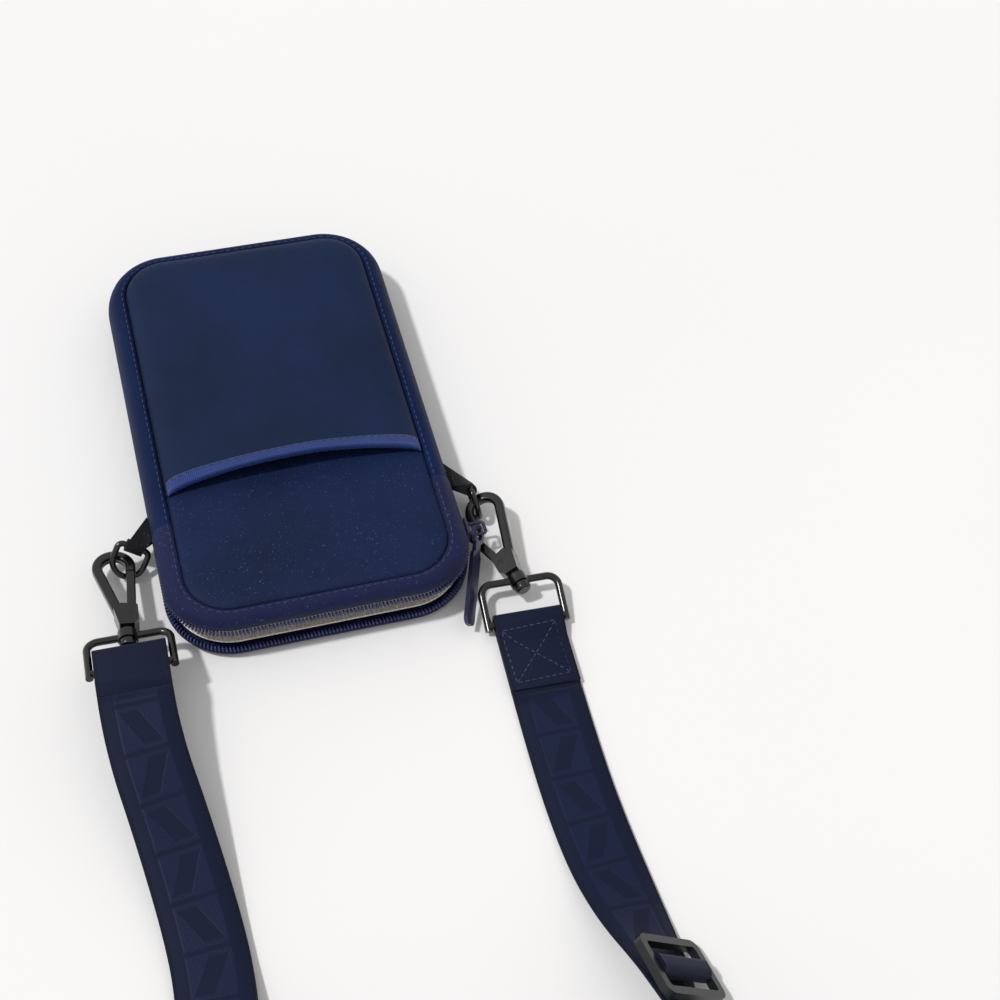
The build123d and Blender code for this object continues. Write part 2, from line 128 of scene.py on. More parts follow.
class Value:
    def __init__(self, tree, socket):
        self.tree = tree
        self.socket = socket

    def mix(self, operation, first, second):
        node = self.tree.nodes.new("ShaderNodeMath")
        node.operation = operation
        for slotIndex, item in enumerate((first, second)):
            if isinstance(item, Value):
                self.tree.links.new(item.socket, node.inputs[slotIndex])
            elif item is not None:
                node.inputs[slotIndex].default_value = item
        return Value(self.tree, node.outputs[0])

    def __add__(self, other):
        return self.mix("ADD", self, other)

    def __radd__(self, other):
        return self.mix("ADD", other, self)

    def __sub__(self, other):
        return self.mix("SUBTRACT", self, other)

    def __rsub__(self, other):
        return self.mix("SUBTRACT", other, self)

    def __mul__(self, other):
        return self.mix("MULTIPLY", self, other)

    def __rmul__(self, other):
        return self.mix("MULTIPLY", other, self)

    def __abs__(self):
        return self.mix("ABSOLUTE", self, None)

    def wave(self, pitch):
        # 0..1 ripple with the given pitch
        return 0.5 + 0.5 * self.mix("SINE", self * (2 * pi / pitch), None)

    def bounce(self, width):
        return self.mix("PINGPONG", self, width)

    def above(self, level):
        return self.mix("GREATER_THAN", self, level)

    def highest(self, other):
        return self.mix("MAXIMUM", self, other)


class Finish:
    def __init__(self, name, settings):
        self.material = bpy.data.materials.new(name)
        self.material.use_nodes = True
        self.tree = self.material.node_tree
        self.shader = self.tree.nodes["Principled BSDF"]
        for key, value in settings.items():
            self.shader.inputs[key].default_value = value
        self.objectCoords = self.node("ShaderNodeTexCoord", {}, {}, "Object")

    def node(self, kind, settings, sockets, output=0):
        node = self.tree.nodes.new(kind)
        for key, value in settings.items():
            setattr(node, key, value)
        for key, value in sockets.items():
            if isinstance(value, Value):
                self.tree.links.new(value.socket, node.inputs[key])
            else:
                node.inputs[key].default_value = value
        return Value(self.tree, node.outputs[output])

    def grain(self, scale, detail=2.0, rough=0.5):
        sockets = {"Vector": self.objectCoords, "Scale": scale, "Detail": detail, "Roughness": rough}
        return self.node("ShaderNodeTexNoise", {}, sockets)

    def cells(self, scale):
        return self.node("ShaderNodeTexVoronoi", {}, {"Vector": self.objectCoords, "Scale": scale})

    def axes(self, source=None):
        parts = self.tree.nodes.new("ShaderNodeSeparateXYZ")
        self.tree.links.new((source or self.objectCoords).socket, parts.inputs[0])
        return [Value(self.tree, parts.outputs[i]) for i in range(3)]

    def clothCoords(self):
        # metres across the cloth and along it
        return self.axes(self.node("ShaderNodeUVMap", {"uv_map": "clothUV"}, {}))[:2]

    def blend(self, share, first, second):
        node = self.tree.nodes.new("ShaderNodeMix")
        node.data_type = "RGBA"
        self.tree.links.new(share.socket, node.inputs[0])
        for index, item in ((6, first), (7, second)):
            if isinstance(item, Value):
                self.tree.links.new(item.socket, node.inputs[index])
            else:
                node.inputs[index].default_value = (*item, 1)
        return Value(self.tree, node.outputs[2])

    def ramp(self, share, low, high):
        return self.node("ShaderNodeMapRange", {}, {"Value": share, "From Min": low, "From Max": high})

    def paint(self, colour):
        self.tree.links.new(colour.socket, self.shader.inputs["Base Color"])

    def roughness(self, value):
        self.tree.links.new(value.socket, self.shader.inputs["Roughness"])

    def relief(self, height, distance, strength=1.0):
        sockets = {"Height": height, "Distance": distance, "Strength": strength}
        bump = self.node("ShaderNodeBump", {}, sockets, "Normal")
        self.tree.links.new(bump.socket, self.shader.inputs["Normal"])


def linear(r, g, b):
    return tuple(((c / 255 + 0.055) / 1.055) ** 2.4 if c > 10 else c / 255 / 12.92 for c in (r, g, b))


# finishes

def neopreneFinish(name, colour, paintedGlitterGlints, shine=0.16):
    look = Finish(name, {
        "Roughness": 0.62, "Sheen Weight": 0.03, "Sheen Roughness": 0.4, "Specular IOR Level": shine,
    })
    patch = look.grain(28, 3)
    knit = look.cells(1900)
    fibre = look.grain(900, 4, 0.7)
    deep = tuple(c * 0.78 for c in colour)
    bright = tuple(min(1, c * 1.25) for c in colour)
    tone = look.blend(look.ramp(patch, 0.3, 0.7), deep, bright)
    if paintedGlitterGlints:
        # painted glints: small bright specks painted into the colour stand in for the glitter's sparkle
        paintedGlint = look.grain(1500, 1).above(0.70) * look.grain(420, 2).above(0.48)
        tone = look.blend(paintedGlint * 0.5, tone, linear(70, 92, 150))
    look.paint(tone)
    look.roughness(0.52 + 0.2 * fibre)
    look.relief(knit * 0.6 + fibre * 0.5, 0.00016)
    return look.material


def tapeFinish(name, colour):
    # twill: fine slanted ribs over a cloth grain
    look = Finish(name, {"Roughness": 0.7, "Sheen Weight": 0.05, "Specular IOR Level": 0.18})
    x, y, z = look.axes()
    ribs = (x + y * 0.8 + z * 0.6).wave(0.0009)
    cross = (y - x * 0.7 + z * 0.5).wave(0.0008)
    fibre = look.grain(1300, 3, 0.6)
    shade = ribs * 0.35 + cross * 0.25 + fibre * 0.4
    tone = look.blend(shade, tuple(c * 0.6 for c in colour), tuple(min(1, c * 1.7) for c in colour))
    # painted glints: small bright specks painted into the tape's colour stand in for its sparkle
    look.paint(look.blend(look.grain(1100, 1).above(0.71) * 0.5, tone, linear(78, 86, 146)))
    look.roughness(0.6 + 0.2 * fibre)
    look.relief(shade, 0.0002)
    return look.material


def liningFinish():
    look = Finish("creamLining", {"Roughness": 0.85, "Sheen Weight": 0.2, "Specular IOR Level": 0.2})
    ribs = look.axes()[0].wave(0.0016)
    fibre = look.grain(800, 3)
    look.paint(look.blend(ribs * 0.6 + fibre * 0.4, linear(226, 219, 209), linear(252, 248, 240)))
    look.relief(ribs + fibre * 0.5, 0.00025)
    return look.material


def ribbonFinish():
    # ribbed satin ribbon: ribs across its width
    look = Finish("bindingRibbon", {"Roughness": 0.42, "Sheen Weight": 0.08, "Specular IOR Level": 0.35})
    u, v = look.clothCoords()
    ribs = v.wave(0.0007)
    edge = look.ramp(abs(u), 0.0, 0.006)
    patch = look.grain(60, 2)
    tone = look.blend(ribs * 0.5 + patch * 0.5, linear(17, 38, 94), linear(32, 66, 140))
    look.paint(look.blend(edge * 0.4, tone, linear(16, 26, 70)))
    look.roughness(0.36 + 0.25 * ribs)
    look.relief(ribs, 0.00022)
    return look.material


weave = {
    "warp": 0.0007, "weft": 0.0006, "slant": 0.35, "selvedge": (0.0112, 0.0116),
    "block": 0.017, "blockEdge": (0.0076, 0.0071), "slotEdge": (0.0028, 0.0033),
}


def webbingFinish(name, low, high, patterned):
    # fine ribs along and across the strap, and a woven pattern of nested blocks
    look = Finish(name, {"Roughness": 0.6, "Sheen Weight": 0.04, "Specular IOR Level": 0.14})
    u, v = look.clothCoords()
    warp = u.wave(weave["warp"])
    weft = (v + u * weave["slant"]).wave(weave["weft"])
    ribs = warp * 0.45 + weft * 0.55
    fibre = look.grain(1600, 3, 0.6)
    selvedge = look.ramp(abs(u), *weave["selvedge"])
    tone = look.blend(ribs * 0.4 + fibre * 0.6, low, high)
    height = ribs * 0.35 + fibre * 0.2 + selvedge * 0.5
    roughness = 0.58 + 0.14 * fibre
    if patterned:
        # a long block and a short block by turns, each with a slanted slot
        away = v.bounce(weave["block"]) - weave["block"] / 2
        slant = abs(u + away * 0.5)
        block = look.ramp(abs(u).highest(abs(away) * 0.95), *weave["blockEdge"])
        slot = look.ramp(slant.highest(abs(away) * 0.5), *weave["slotEdge"])
        motif = block * slot
        tone = look.blend(motif * 0.28, tone, tuple(c * 1.5 + 0.001 for c in high))
        height = height + motif * 0.6
        roughness = roughness - 0.2 * motif
    look.roughness(roughness)
    look.paint(look.blend(selvedge * 0.6, tone, low))
    look.relief(height, 0.00018)
    return look.material


def threadFinish(name, colour, shine):
    look = Finish(name, {"Roughness": shine, "Sheen Weight": 0.3})
    twist = look.grain(2600, 2)
    look.paint(look.blend(twist, tuple(c * 0.6 for c in colour), tuple(min(1, c * 1.5) for c in colour)))
    look.relief(twist, 0.00015)
    return look.material


def lacquerFinish(name, colour, edge, gloss, coat, metal):
    # sprayed lacquer: fine orange peel, small rubbed spots, dust in the gloss
    look = Finish(name, {"Metallic": metal, "Coat Weight": coat, "Coat Roughness": 0.12, "Specular IOR Level": 0.5})
    peel = look.grain(380, 2)
    rub = look.ramp(look.grain(140, 5, 0.65), 0.60, 0.72)
    look.paint(look.blend(rub * 0.35, colour, edge))
    look.roughness(gloss + 0.1 * peel + 0.12 * rub)
    look.relief(peel, 0.00006, 0.6)
    return look.material


def coilFinish():
    look = Finish("zipCoil", {"Roughness": 0.38, "Specular IOR Level": 0.55})
    tint = look.grain(700, 2)
    look.paint(look.blend(look.ramp(tint, 0.35, 0.65), linear(16, 22, 62), linear(44, 58, 122)))
    look.roughness(0.3 + 0.2 * tint)
    look.relief(look.grain(2400, 2), 0.0001)
    return look.material


finishes = {
    "neoprene": neopreneFinish("neopreneNavy", linear(8, 28, 60), False),
    "mouthNeoprene": neopreneFinish("neopreneGlitterGlints", linear(9, 26, 60), True),
    "rim": neopreneFinish("rimNeoprene", linear(8, 26, 62), False, 0.08),
    "mouthTape": tapeFinish("mouthTape", linear(15, 21, 58)),
    "tab": tapeFinish("blackTape", linear(12, 13, 16)),
    "lining": liningFinish(),
    "ribbon": ribbonFinish(),
    "webbing": webbingFinish("strapWebbing", linear(6, 10, 26), linear(16, 26, 58), True),
    "webbingPlain": webbingFinish("strapWebbingPlain", linear(6, 10, 26), linear(16, 26, 58), False),
    "thread": threadFinish("navyThread", linear(22, 33, 78), 0.5),
    "strapThread": threadFinish("strapThread", linear(28, 40, 84), 0.3),
    "coil": coilFinish(),
    "blackMetal": lacquerFinish("blackLacquer", linear(7, 8, 9), linear(34, 35, 37), 0.2, 0.3, 0.0),
    "zipPaint": lacquerFinish("zipLacquer", linear(38, 39, 72), linear(84, 86, 116), 0.3, 0.35, 0.3),
    "adjusterMetal": lacquerFinish("adjusterSatin", linear(30, 32, 36), linear(70, 72, 76), 0.36, 0.15, 0.4),
}
print("finishes made")


# camera and light

cameraView = {
    "place": (-58.8 * mm, -402.6 * mm, 517.0 * mm),
    "right": (0.9614, -0.268, 0.0624),
    "up": (0.1807, 0.7859, 0.5914),
    "forward": (0.2076, 0.5573, -0.804),
    "lens": 61.19, "sensor": 36, "nearest": 0.01,
}
cameraData = bpy.data.cameras.new("tableCamera")
cameraData.lens = cameraView["lens"]
cameraData.sensor_width = cameraView["sensor"]
cameraData.clip_start = cameraView["nearest"]
camera = bpy.data.objects.new("tableCamera", cameraData)
bpy.context.scene.collection.objects.link(camera)
turn = Matrix((cameraView["right"], cameraView["up"], tuple(-c for c in cameraView["forward"]))).transposed()
camera.matrix_world = Matrix.Translation(cameraView["place"]) @ turn.to_4x4()
bpy.context.scene.camera = camera
bpy.context.scene.view_settings.view_transform = "Standard"

lights = {
    "sunStrength": 2.0, "sunAngle": 5.0, "sunWay": (0.60, -0.05, -1.0),
    "sky": (1.0, 0.99, 0.98, 1), "skyStrength": 0.64,
}
sunData = bpy.data.lights.new("windowSun", "SUN")
sunData.energy = lights["sunStrength"]
sunData.angle = radians(lights["sunAngle"])
sun = bpy.data.objects.new("windowSun", sunData)
bpy.context.scene.collection.objects.link(sun)
sun.matrix_world = Vector(lights["sunWay"]).to_track_quat("-Z", "Y").to_matrix().to_4x4()
world = bpy.data.worlds.new("paleStudio")
bpy.context.scene.world = world
world.use_nodes = True
world.node_tree.nodes["Background"].inputs["Color"].default_value = lights["sky"]
world.node_tree.nodes["Background"].inputs["Strength"].default_value = lights["skyStrength"]

deselectAll()
bpy.ops.mesh.primitive_plane_add(size=8, location=(0, 0, -0.0002))
floor = bpy.context.object
floor.name = "paleTable"
floorLook = Finish("paleTable", {"Roughness": 0.75, "Specular IOR Level": 0.2})
floorLook.paint(floorLook.blend(floorLook.grain(3, 2), (0.785, 0.78, 0.78), (0.82, 0.815, 0.815)))
floor.data.materials.append(floorLook.material)
print("camera and light set")


# strap: one length of webbing, in the stretches that the hardware divides

strap = {"width": 25.0, "sheet": 1.3, "layer": 0.8, "edge": 0.45}
singleRoute = [
    (68.3, -128.0, 0.9, 0),
    (67.1, -158.0, 0.9, 0),
    (68.0, -190.0, 1.12, 0),
    (70.2, -214.0, 4.8, 17),
    (73.2, -234.0, 9.8, 38),
]
doubleRoute = [
    (75.0, -246.0, 11.6, 50),
    (77.6, -266.0, 12.7, 66),
    (80.6, -294.0, 13.2, 84),
    (80.5, -330.0, 13.0, 90),
    (53.0, -367.0, 12.9, 90),
    (6.0, -381.0, 12.9, 90),
    (-42.0, -368.0, 12.9, 90),
    (-71.5, -329.0, 13.0, 88),
    (-73.0, -292.0, 13.2, 80),
    (-69.5, -258.0, 12.0, 58),
    (-64.0, -229.0, 6.6, 22),
    (-61.3, -206.0, 2.0, 0),
    (-62.0, -184.0, 2.2, 0),
    (-65.6, -152.0, 8.8, 0),
    (-69.95, -123.0, 16.2, 0),
    (-69.6, -106.0, 18.2, 0),
]


def smoothLine(points):
    # the points that a smooth spline through this route's control points gives
    curve = bpy.data.curves.new("routeLine", "CURVE")
    curve.dimensions = "3D"
    curve.resolution_u = 10
    spline = curve.splines.new("NURBS")
    spline.points.add(len(points) - 1)
    for spot, place in zip(spline.points, points):
        spot.co = (*place, 1)
    spline.order_u = 3
    spline.use_endpoint_u = True
    line = bpy.data.objects.new("routeLine", curve)
    bpy.context.scene.collection.objects.link(line)
    mesh = bpy.data.meshes.new_from_object(line)
    found = [v.co.copy() for v in mesh.vertices]
    bpy.data.objects.remove(line)
    bpy.data.curves.remove(curve)
    bpy.data.meshes.remove(mesh)
    return found


def rolled(along, roll):
    # the ways across and out of a strip that runs along and is rolled by this many degrees
    inward = along.cross(Vector((0, 0, 1))).normalized()
    lift = inward.cross(along).normalized()
    share, rest = cos(radians(roll)), sin(radians(roll))
    return inward * share + lift * rest, lift * share - inward * rest


def ribbon(name, route, shift):
    # a woven strip with rounded edges that rolls as its route says, set aside by shift at each point
    middle = smoothLine([Vector(row[:3]) * mm for row in route])
    rolls = smoothLine([
        Vector((row[3] * mm, index * mm, aside * mm)) for index, (row, aside) in enumerate(zip(route, shift))
    ])
    half = strap["width"] / 2 * mm
    thick = strap["sheet"] / 2 * mm
    edge = strap["edge"] * mm
    section = [
        (-half, -thick + edge), (-half + edge, -thick), (-half * 0.5, -thick), (0, -thick), (half * 0.5, -thick),
        (half - edge, -thick), (half, -thick + edge), (half, thick - edge), (half - edge, thick),
        (half * 0.5, thick), (0, thick), (-half * 0.5, thick), (-half + edge, thick), (-half, thick - edge),
    ]
    points, uvs, centres, length = [], [], [], 0.0
    for index, place in enumerate(middle):
        ahead = middle[min(index + 1, len(middle) - 1)]
        behind = middle[max(index - 1, 0)]
        across, normal = rolled((ahead - behind).normalized(), rolls[index].x / mm)
        centre = place + normal * rolls[index].z
        if index:
            length += (place - middle[index - 1]).length
        centres.append(centre)
        for a, b in section:
            points.append(centre + across * a + normal * b)
            uvs.append((a, length))
    return meshPiece(name, points, tubeFaces(len(middle), len(section)), uvs), centres, length


straps = (
    (
        "strapInner", singleRoute + doubleRoute, [0] * len(singleRoute) + [-strap["layer"]] * len(doubleRoute),
        ("strap_single_run", "strap_adjuster_run", "strap_inner_layer"),
    ),
    ("strapOuter", doubleRoute, [strap["layer"]] * len(doubleRoute), ("strap_outer_layer",)),
)
for name, route, shift, nodes in straps:
    piece, centres, length = ribbon(name, route, shift)
    finishPiece(piece, "pouch", finishes["webbing"], nodes)
    onIt = [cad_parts["adjuster"]] if name == "strapInner" else []
    print(name, round(length, 4))


cloth = {"weld": 0.02, "bevelAngle": 40, "smoothAngle": 50, "foldBevel": 0.3, "tabBevel": 0.25}


def clothCopy(node, name, bevel, along, origin):
    # a soft copy of a CAD piece: merged, edges rounded, with cloth coordinates along the given way
    piece = bpy.data.objects.new(name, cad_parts[node].data.copy())
    bpy.context.scene.collection.objects.link(piece)
    editMesh(piece, bpy.ops.mesh.remove_doubles, threshold=cloth["weld"] * mm)
    addModifier(piece, "BEVEL", {
        "width": bevel * mm, "segments": 2, "limit_method": "ANGLE", "angle_limit": radians(cloth["bevelAngle"]),
    })
    applyModifiers(piece)
    bpy.ops.object.shade_smooth_by_angle(angle=radians(cloth["smoothAngle"]))
    along = Vector(along).normalized()
    across = Vector((along.y, -along.x, 0)).normalized()
    mesh = piece.data
    while mesh.uv_layers:
        mesh.uv_layers.remove(mesh.uv_layers[0])
    layer = mesh.uv_layers.new(name="clothUV")
    for loop in mesh.loops:
        away = mesh.vertices[loop.vertex_index].co - Vector(origin)
        layer.data[loop.index].uv = (away.dot(across), away.dot(along) + away.z)
    return piece


folds = {
    "strap_right_fold": {"name": "rightFold", "along": (0.04, 1, 0), "origin": (68.3 * mm, -128 * mm, 0)},
    "strap_left_fold": {"name": "leftFold", "along": (0.02, 1, 0), "origin": (-69.6 * mm, -106 * mm, 0)},
}
for node, fold in folds.items():
    piece = clothCopy(node, fold["name"], cloth["foldBevel"], fold["along"], fold["origin"])
    finishPiece(piece, "pouch", finishes["webbingPlain"], (node,))

# the webbing's turn round the adjuster's middle bar
wrap = {
    "middle": (74.1, -240.0, 10.7), "way": (1.8, -12.0, 1.8), "roll": 44, "rise": 4.65,
    "bar": 1.4, "fit": 0.22, "long": 0.9, "width": 24.4, "turns": 32, "stretch": 2.2, "smoothAngle": 40,
}
along = Vector(wrap["way"]).normalized()
across, normal = rolled(along, wrap["roll"])
barMiddle = Vector(wrap["middle"]) + normal * wrap["rise"]
inside = wrap["bar"] + wrap["fit"]
points, uvs, faces = [], [], []
for k in range(wrap["turns"]):
    angle = 2 * pi * k / wrap["turns"]
    shove = wrap["long"] if cos(angle) > 0 else -wrap["long"]
    for reach in (inside, inside + strap["sheet"]):
        centre = barMiddle + along * (reach * cos(angle) + shove) + normal * reach * sin(angle)
        for aside in (-wrap["width"] / 2, wrap["width"] / 2):
            points.append((centre + across * aside) * mm)
            uvs.append((aside * mm, wrap["stretch"] * angle * mm))
    a, b = k * 4, (k + 1) % wrap["turns"] * 4
    faces += [(a, b, b + 1, a + 1), (a + 2, a + 3, b + 3, b + 2)]
    faces += [(a, a + 2, b + 2, b), (a + 1, b + 1, b + 3, a + 3)]
adjusterWrap = meshPiece("adjusterWrap", points, faces, uvs)
editMesh(adjusterWrap, bpy.ops.mesh.normals_make_consistent, inside=False)
bpy.ops.object.shade_smooth_by_angle(angle=radians(wrap["smoothAngle"]))
finishPiece(adjusterWrap, "pouch", finishes["webbingPlain"])

for side, way in (("left", (-1, -0.3, 0)), ("right", (1, -0.3, 0))):
    low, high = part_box(side + "_tab")
    middle = tuple((a + b) / 2 for a, b in zip(low, high))
    piece = clothCopy(side + "_tab", side + "Tab", cloth["tabBevel"], way, middle)
    finishPiece(piece, "pouch", finishes["tab"], (side + "_tab",))
print("strap and tabs made")


# pouch: rings of the rounded outline, drawn in and raised along a padded profile

pouch = {
    "halfWidth": 55.0, "halfLength": 91.0, "corner": 24.0, "leastCorner": 0.6, "depth": 22.0,
    "wall": 2.6, "pocketWall": 2.2, "liningWall": 0.5, "foldY": -43.0, "pocketY": -31.0,
    "cornerSteps": 20, "endSteps": 36, "sideSteps": 68, "mouthSteps": 15, "mouthPitch": 1.6,
    "weld": 0.3, "cutWeld": 0.01, "smoothAngle": 55, "same": 0.01,
}
mouth = {
    "reach": 48.0, "gap": 8.2, "foldGap": 1.0, "foldRun": 3, "middleDrop": 1.4, "lip": 1.5,
    "tuckY": -67, "tuckRun": 24, "tuckTall": 9.5, "lowTuck": 1.7, "highTuck": 2.7, "coilTuck": 1.1,
}
padding = {"edge": 12, "slow": 0.035, "layer": 3.1, "fine": 3.3, "fineShare": 0.35, "panel": 0.25, "pocket": 0.35}
gape = {"run": 34.0, "back": 4.2, "rise": 3.4, "half": 47, "round": 0.8}
dent = {"deep": 1.3, "y": -22, "halfLong": 16, "halfWide": 44}


def outline(inset):
    # the rounded outline this far in, anticlockwise from the near end of the right side
    radius = max(pouch["corner"] - inset, min(pouch["leastCorner"], pouch["halfWidth"] - inset))
    hx = pouch["halfWidth"] - inset - radius
    hy = pouch["halfLength"] - inset - radius
    straight = pouch["halfLength"] - pouch["corner"]
    share = hy / straight
    sideStep = (straight - pouch["foldY"]) / pouch["sideSteps"]
    sideYs = [-straight + pouch["mouthPitch"] * k for k in range(pouch["mouthSteps"])]
    sideYs += [pouch["foldY"] + sideStep * k for k in range(pouch["sideSteps"] + 1)]

    def corner(x, y, start):
        angles = [start + pi / 2 * k / pouch["cornerSteps"] for k in range(1, pouch["cornerSteps"])]
        return [(x + radius * cos(angle), y + radius * sin(angle)) for angle in angles]

    def end(way):
        steps = pouch["endSteps"]
        return [(way * (hx - 2 * hx * k / steps), way * (hy + radius)) for k in range(steps + 1)]

    right = [(hx + radius, y * share) for y in sideYs]
    left = [(-hx - radius, y * share) for y in reversed(sideYs)]
    far = corner(hx, hy, 0) + end(1) + corner(-hx, hy, pi / 2)
    near = corner(-hx, -hy, pi) + end(-1) + corner(hx, -hy, 1.5 * pi)
    return right + far + left + near


def mouthHeights(y):
    # the heights of the mouth's lower and upper edge
    away = max(0.0, pouch["foldY"] - y)
    share = away / mouth["reach"]
    middle = pouch["depth"] / 2 - mouth["middleDrop"] * share
    foldGap = mouth["foldGap"] * min(1.0, away / mouth["foldRun"])
    half = (foldGap + (mouth["gap"] - mouth["foldGap"]) * share) / 2
    return middle - half, middle + half


def mouthTuck(y, z, amount):
    # the near end's lips draw back a little where the zip is open
    share = max(0.0, min(1.0, (mouth["tuckY"] - y) / mouth["tuckRun"]))
    return amount * share * max(0.0, 1 - abs(z - pouch["depth"] / 2) / mouth["tuckTall"])


def softness(x, y, inset, amount):
    # slow dents in the padding, which die out at the edge
    spot = Vector((x * padding["slow"], y * padding["slow"], padding["layer"]))
    dents = noise.noise(spot) * amount + noise.noise(spot * padding["fine"]) * amount * padding["fineShare"]
    return dents * min(1, inset / padding["edge"])


def pocketLift(x, y):
    # how the pocket's mouth gapes: pulled back and raised in the middle
    near = max(0.0, 1 - (y - pouch["pocketY"]) / gape["run"]) ** 2
    middle = cos(pi / 2 * min(1, abs(x) / gape["half"])) ** gape["round"]
    return gape["back"] * near * middle, gape["rise"] * near * middle


def ringSheet(name, rings, side="flat", lip=0.0, dents=0.0, close=False, level=0.0):
    # side: "low" and "high" follow the mouth's edges above or below level, "flat" ignores them
    half = pouch["depth"] / 2
    points, faces, count = [], [], len(outline(0))
    for inset, z in rings:
        for x, y in outline(inset):
            low, high = mouthHeights(y if inset < padding["edge"] else pouch["foldY"])
            height = z
            if side == "low":
                height = level + (z - level) * (low - lip - level) / (half - level)
            elif side == "high":
                height = level - (level - z) * (level - high - lip) / (level - half)
            if dents:
                height += softness(x, y, inset, dents)
            if side != "flat":
                y += mouthTuck(y, z, mouth[side + "Tuck"])
            points.append((x * mm, y * mm, height * mm))
    for ring in range(len(rings) - 1):
        here, there = ring * count, (ring + 1) * count
        for k in range(count):
            after = (k + 1) % count
            faces.append((here + k, here + after, there + after, there + k))
    piece = meshPiece(name, points, faces)
    if close:
        editMesh(piece, bpy.ops.mesh.remove_doubles, threshold=pouch["weld"] * mm)
    return piece


def cutAt(piece, y, keep):
    # cuts the piece across at y and keeps the "far" or the "near" side
    editMesh(
        piece, bpy.ops.mesh.bisect, plane_co=(0, y * mm, 0), plane_no=(0, -1 if keep == "far" else 1, 0),
        clear_outer=True, clear_inner=False, threshold=pouch["cutWeld"] * mm,
    )


def thicken(piece, wall, pointsUp=True):
    # a closed wall, made inwards from the outside face
    editMesh(piece, bpy.ops.mesh.normals_make_consistent, inside=False)
    if (sum(f.normal.z * f.area for f in piece.data.polygons) > 0) != pointsUp:
        editMesh(piece, bpy.ops.mesh.flip_normals)
    addModifier(piece, "SOLIDIFY", {"thickness": wall * mm, "offset": -1.0})
    applyModifiers(piece)
    piece.data.polygons.foreach_set("use_smooth", [True] * len(piece.data.polygons))
    bpy.ops.object.shade_smooth_by_angle(angle=radians(pouch["smoothAngle"]))


# profiles from the edge inwards: (inset, height)
rim = {"wide": 6.3, "tall": 10.8, "bends": (9, 20, 32, 44, 56, 68, 80, 90)}
rimArc = [(1 - cos(radians(bend)), sin(radians(bend))) for bend in rim["bends"]]
rimTop = [(rim["wide"] * inward, pouch["depth"] / 2 + rim["tall"] * up) for inward, up in rimArc]
rimTop += [(6.9, 21.7), (7.35, 21.35), (7.6, 20.8), (7.7, 20.2)]
rimBottom = [(inset, pouch["depth"] - z) for inset, z in rimTop]
panelTop = [
    (7.75, 20.2), (7.9, 20.9), (8.5, 21.5), (9.6, 21.9), (12, 22.15), (16, 22.3),
    (22, 22.4), (30, 22.5), (40, 22.6), (50, 22.6), (54.95, 22.6),
]
panelBottom = [
    (7.75, 1.4), (7.9, 0.7), (8.6, 0.2), (10, 0.02), (16, 0.0), (30, 0.0), (45, 0.0), (54.95, 0.0),
]
pocketTop = [
    (7.8, 20.6), (8.0, 21.8), (8.7, 23.0), (10, 24.1), (12.5, 24.9), (16, 25.35),
    (22, 25.6), (30, 25.75), (40, 25.85), (50, 25.9), (54.95, 25.9),
]
liningTop = [(3.2, 11.0), (3.2, 14.5), (3.6, 17.0), (4.8, 18.4), (7, 18.9), (14, 19.0), (30, 19.0), (54.95, 19.0)]
liningBottom = [
    (2.7, 11.0), (3.2, 10.4), (4.2, 9.0), (5.8, 7.0), (8.0, 5.2), (10.5, 4.2),
    (14, 3.4), (20, 3.1), (30, 3.05), (54.95, 3.0),
]

gusset = ringSheet("gussetUpper", [(0.0, 11.0)] + rimTop)
cutAt(gusset, pouch["foldY"], "far")
thicken(gusset, pouch["wall"])
finishPiece(gusset, "pouch", finishes["rim"], ("gusset",))
gussetLow = ringSheet("gussetLower", [(0.0, 11.0)] + rimBottom)
cutAt(gussetLow, pouch["foldY"], "far")
thicken(gussetLow, pouch["wall"], False)
finishPiece(gussetLow, "pouch", finishes["rim"])

mouthRim = ringSheet("mouthRim", [(1.2, 11.0), (0.4, 11.3)] + rimTop, "high", mouth["lip"], level=pouch["depth"])
cutAt(mouthRim, pouch["foldY"], "near")
thicken(mouthRim, pouch["wall"])
finishPiece(mouthRim, "mouth_flap", finishes["mouthTape"], ("front_zip_tape",))
baseRim = ringSheet("baseRim", [(0.5, 11.0)] + rimBottom, "low", mouth["lip"])
cutAt(baseRim, pouch["foldY"], "near")
thicken(baseRim, pouch["wall"], False)
finishPiece(baseRim, "pouch", finishes["mouthTape"], ("back_zip_tape",))

frontPanel = ringSheet("frontPanel", panelTop, dents=padding["panel"], close=True)
cutAt(frontPanel, pouch["foldY"], "far")
for vertex in frontPanel.data.vertices:
    along = (vertex.co.y / mm - dent["y"]) / dent["halfLong"]
    across = vertex.co.x / mm / dent["halfWide"]
    vertex.co.z -= dent["deep"] * mm * max(0, 1 - along ** 2) * max(0, 1 - across ** 2)
thicken(frontPanel, pouch["wall"])
finishPiece(frontPanel, "pouch", finishes["mouthNeoprene"], ("front_panel",))
mouthPanel = ringSheet("mouthPanel", panelTop, dents=padding["panel"], close=True)
cutAt(mouthPanel, pouch["foldY"], "near")
thicken(mouthPanel, pouch["wall"])
finishPiece(mouthPanel, "mouth_flap", finishes["mouthNeoprene"], ("mouth_panel",))
backPanel = ringSheet("backPanel", panelBottom, close=True)
thicken(backPanel, pouch["wall"], False)
finishPiece(backPanel, "pouch", finishes["neoprene"], ("back_panel",))
pocketPanel = ringSheet("pocketPanel", pocketTop, dents=padding["pocket"], close=True)
cutAt(pocketPanel, pouch["pocketY"], "far")
thicken(pocketPanel, pouch["pocketWall"])
for vertex in pocketPanel.data.vertices:
    back, rise = pocketLift(vertex.co.x / mm, vertex.co.y / mm)
    vertex.co += Vector((0, back, rise)) * mm
finishPiece(pocketPanel, "pouch", finishes["neoprene"], ("pocket_panel",))
print("pouch panels made")

